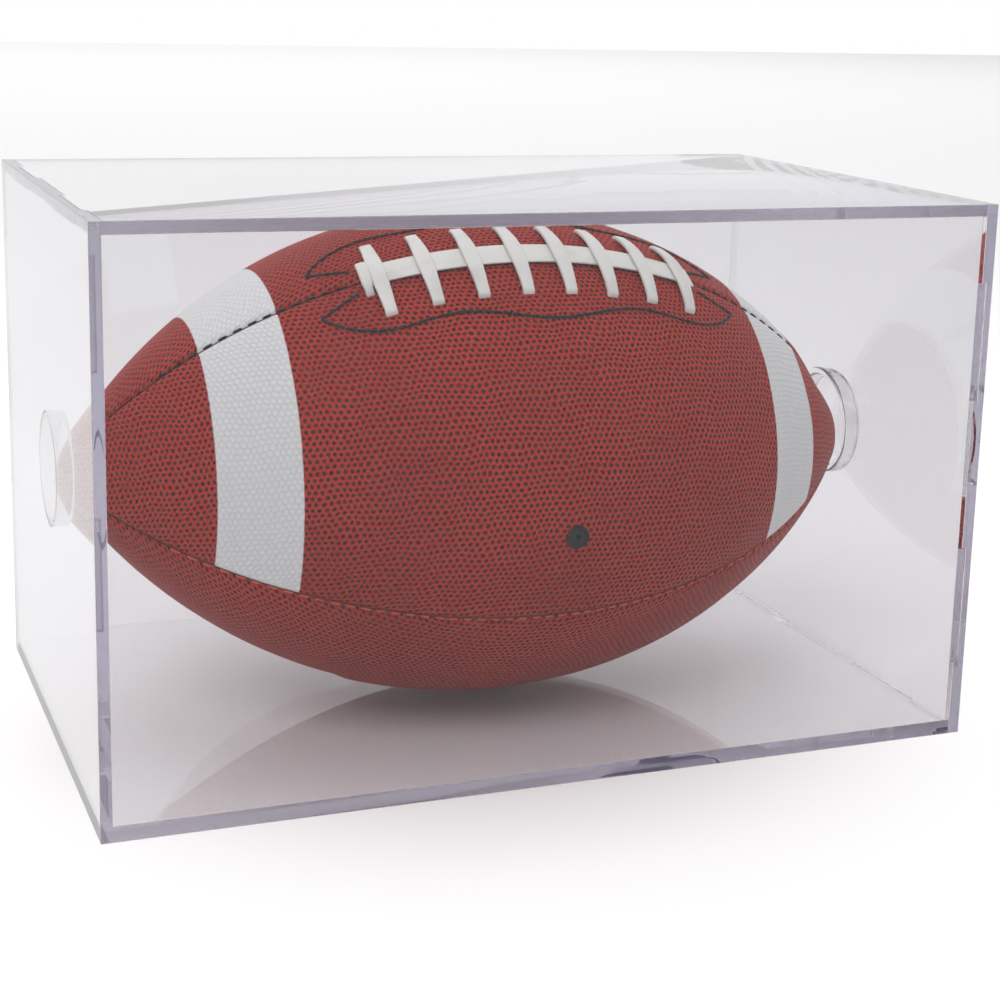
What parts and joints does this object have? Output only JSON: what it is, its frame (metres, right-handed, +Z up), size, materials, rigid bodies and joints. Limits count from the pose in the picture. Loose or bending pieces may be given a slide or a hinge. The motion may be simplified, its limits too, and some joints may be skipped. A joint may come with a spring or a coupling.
{
  "type": "football display case",
  "caption": "Clear box of two interlocking mouldings with a short cup on each end wall that carries the tips of a laced leather football.",
  "frame": {"origin": "centre of the underside of the case, on the surface it stands on", "axes": "+X along the case to the right seen from the front, front at -Y, +Z up"},
  "size_m": [0.298, 0.185, 0.185],
  "materials": {
    "clear_acrylic": "clear, polished faces with faintly lilac edges",
    "leather": "pebbled, semi-gloss, with white painted bands",
    "liner_fabric": "woven, matte",
    "facing_leather": "split leather, matte",
    "bladder_rubber": "smooth, matte",
    "valve_rubber": "satin",
    "lace": "smooth white lace, semi-matte",
    "thread": "waxed black thread"
  },
  "bodies": {
    "base_half": {"case_base_half": "clear_acrylic", "tip_cup_left": "clear_acrylic"},
    "cover_half": {"case_cover_half": "clear_acrylic", "tip_cup_right": "clear_acrylic"},
    "football": {"panel_upper_front": "leather", "panel_lower_front": "leather", "panel_lower_back": "leather", "panel_upper_back": "leather", "liner_upper_front": "liner_fabric", "liner_lower_front": "liner_fabric", "liner_lower_back": "liner_fabric", "liner_upper_back": "liner_fabric", "bladder": "bladder_rubber", "inflation_valve": "valve_rubber", "lace_facing_front": "facing_leather", "lace_facing_back": "facing_leather", "lace_run": "lace", "lace_knot": "lace", "cross_lace_1": "lace", "cross_lace_2": "lace", "cross_lace_3": "lace", "cross_lace_4": "lace", "cross_lace_5": "lace", "cross_lace_6": "lace", "cross_lace_7": "lace", "cross_lace_8": "lace", "stitching_lace_seam": "thread", "stitching_front_seam": "thread", "stitching_bottom_seam": "thread", "stitching_back_seam": "thread", "stitching_facing_front": "thread", "stitching_facing_back": "thread"}
  },
  "joints": [
    {"name": "cover_slide", "type": "slide", "parent": "base_half", "child": "cover_half", "axis": [1, 0, 0], "range_m": [0, 0.3]},
    {"name": "football_turn", "type": "hinge", "parent": "base_half", "child": "football", "pos_m": [0, 0, 0.0883], "axis": [1, 0, 0], "range_deg": [-180, 130]}
  ]
}
